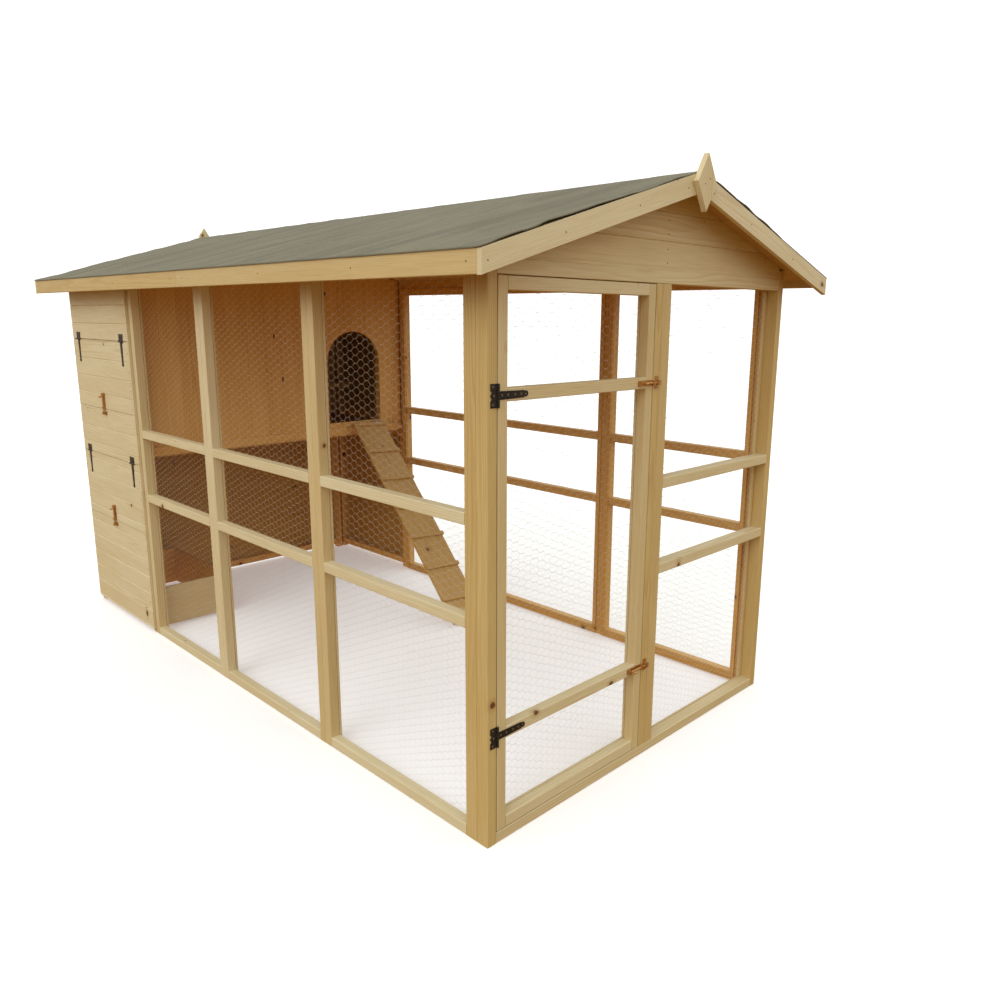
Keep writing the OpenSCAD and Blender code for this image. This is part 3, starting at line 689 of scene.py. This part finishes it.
def coat(mat, *names):
    """Gives CAD nodes that stay visible their material."""
    for n in names:
        for s in nodes[n].material_slots:
            s.material = mat


coat(BLACK, "hinge_plates", "door_hinge_straps", "upper_flap_straps", "lower_flap_straps")
coat(SCREW, "plate_screws", "door_strap_screws", "upper_flap_screws", "lower_flap_screws")
coat(BRASS, "door_bolt_bodies", "upper_flap_bolt_body", "lower_flap_bolt_body", "bolt_keeps",
     "upper_bolt_rod", "lower_bolt_rod", "upper_flap_bolt_rod", "lower_flap_bolt_rod")
coat(STEEL, "hinge_pins", "ramp_pivot", "ramp_knuckles")

# nail heads: metres, and the number of sides
HEAD_RADIUS, HEAD_PROUD, HEAD_SUNK, HEAD_SIDES = 0.0022, 0.0006, 0.0008, 10


def nails(name, spots):
    """Nail heads, each a low dome sunk in the wood: (point on the face, outward direction)."""
    rings = ((HEAD_RADIUS, -HEAD_SUNK), (HEAD_RADIUS, HEAD_PROUD * 0.5),
             (HEAD_RADIUS * 0.6, HEAD_PROUD))
    n = HEAD_SIDES
    verts, faces = [], []
    for point, way in spots:
        point, way = Vector(point), Vector(way)
        a = way.orthogonal().normalized()
        b = way.cross(a)
        base = len(verts)
        for radius, height in rings:
            for k in range(n):
                turn = 2 * math.pi * k / n
                rim = (a * math.cos(turn) + b * math.sin(turn)) * radius
                verts.append(point + rim + way * height)
        for ring in range(2):
            for k in range(n):
                q, s = base + ring * n + k, base + ring * n + (k + 1) % n
                faces.append((q, s, s + n, q + n))
        faces.append(tuple(base + 2 * n + k for k in range(n)))
        faces.append(tuple(base + n - 1 - k for k in range(n)))
    return piece(name, verts, faces, "coop", NAIL, ())


def nail_spots():
    """Where nails are driven into the outer faces."""
    spots = []
    # the gable's boards: a pair of nails to a board in the middle, and along the raking rails
    lo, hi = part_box("front_gable_boards")
    for k in range(3):
        for dz in (0, 0.04):
            z = lo.z + 0.022 + GABLE_STEP * k + dz
            if z < hi.z - 0.02:
                spots.append(((0.004, lo.y, z), -Y))
    for x, z in ((0.66, 1.645), (0.42, 1.72), (0.2, 1.79)):
        spots += [((-x, lo.y, z), -Y), ((x, lo.y, z), -Y)]
    lo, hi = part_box("barge_boards")
    for s in (-1, 1):
        for x in (0.865, 0.60, 0.30, 0.07):
            z = hi.z - 0.033 - x * 0.3053
            spots += [((s * x, lo.y, z), -Y), ((s * x, hi.y, z), Y)]
    lo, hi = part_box("fascia_boards")
    for x, way in ((lo.x, -X), (hi.x, X)):
        for y in (-1.56, -1.1, -0.6, -0.06, 0.04, 0.6, 1.15, 1.57):
            spots.append(((x, y, lo.z + 0.03), way))
    lo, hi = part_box("finials")
    for y, way in ((lo.y, -Y), (hi.y, Y)):
        spots += [((-0.012, y, 1.868), way), ((0.012, y, 1.884), way)]
    # the house's side walls: one nail to a board at each end
    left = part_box("left_house_boards")[0].x
    for k in range(19):
        z = 0.065 + SIDE_STEP * k
        for y in (0.806, 1.478):
            spots += [((left, y, z), -X), ((-left, y, z), X)]
    return spots


nails("nail_heads", nail_spots())


# ---------------------------------------------------------------- stage, light and camera

def pale_floor():
    """A wide disc a hair below the ground face, for the camera's eye and for shadows only."""
    ground = bmesh.new()
    bmesh.ops.create_circle(ground, cap_ends=True, segments=96, radius=90.0)
    me = bpy.data.meshes.new("floor")
    ground.to_mesh(me)
    ground.free()
    floor = bpy.data.objects.new("floor", me)
    floor.location = (0, 0, -0.0005)
    bpy.context.scene.collection.objects.link(floor)
    m = material("pale_floor")
    colour = m.mix(m.noise(m.object_place(), 3.0, 3.0), (0.84, 0.84, 0.835), (0.88, 0.88, 0.875))
    me.materials.append(m.finish(Base_Color=colour, Roughness=0.9,
                                 Emission_Color=(1.0, 1.0, 1.0), Emission_Strength=0.28))
    floor.visible_diffuse = floor.visible_glossy = False    # the world lights the coop from below
    return floor


SKY, EARTH, BACKDROP = (1.05, 1.08, 1.05), (0.32, 0.16, 0.04), 1.25
SUN, SUN_WAY, SUN_WIDTH = (0.78, 0.78, 0.81), (0.70, 0.15, -0.52), 42       # width in degrees


def studio():
    """A white backdrop for the camera. Everything else sees a pale sky over a warm ground."""
    world = bpy.data.worlds.new("studio")
    bpy.context.scene.world = world
    m = Net(world)
    height = m.math("MULTIPLY_ADD", m.xyz(m.new("TexCoord").outputs["Generated"])[2], 0.5, 0.5)
    ramp = m.node("ValToRGB", Fac=height)
    low, high = ramp.color_ramp.elements
    low.position, low.color = 0.42, rgba(EARTH)
    high.position, high.color = 0.62, rgba(SKY)
    light = m.fill(m.tree.nodes["Background"], {"Color": ramp.outputs["Color"]})
    seen = m.node("Background", Color=(1, 1, 1), Strength=BACKDROP)
    both = m.node("MixShader", Fac=m.new("LightPath").outputs["Is Camera Ray"])
    m.put(both.inputs[1], light.outputs[0])
    m.put(both.inputs[2], seen.outputs[0])
    m.put(m.tree.nodes["World Output"].inputs["Surface"], both.outputs[0])


def soft_sun():
    """A wide sun from behind the camera's left shoulder."""
    light = bpy.data.lights.new("soft_sun", "SUN")
    light.energy, light.color = max(SUN), [c / max(SUN) for c in SUN]
    light.angle = math.radians(SUN_WIDTH)
    sun = bpy.data.objects.new("soft_sun", light)
    sun.rotation_mode = "QUATERNION"
    sun.rotation_quaternion = Vector(SUN_WAY).to_track_quat("-Z", "Y")
    bpy.context.scene.collection.objects.link(sun)


def photo_camera():
    """The camera that the perspective fit to the photograph gave."""
    data = bpy.data.cameras.new("camera")
    data.sensor_width, data.lens = 36.0, 29.29
    data.shift_x, data.shift_y = -0.02256, -0.00615
    data.clip_end = 300
    eye = Vector((-2.17424, -2.9969, 1.48356))
    yaw, pitch, roll = (math.radians(a) for a in (45.895, -12.245, 0.520))
    ahead = Vector((math.sin(yaw) * math.cos(pitch), math.cos(yaw) * math.cos(pitch),
                    math.sin(pitch)))
    level = Vector((math.cos(yaw), -math.sin(yaw), 0))
    above = level.cross(ahead)
    right = level * math.cos(roll) + above * math.sin(roll)
    up = above * math.cos(roll) - level * math.sin(roll)
    turned = Matrix((right, up, -ahead)).transposed().to_4x4()
    camera = bpy.data.objects.new("camera", data)
    camera.matrix_world = Matrix.Translation(eye) @ turned
    bpy.context.scene.collection.objects.link(camera)
    bpy.context.scene.camera = camera


floor = pale_floor()
studio()
soft_sun()
photo_camera()
bpy.context.scene.view_settings.view_transform = "Standard"
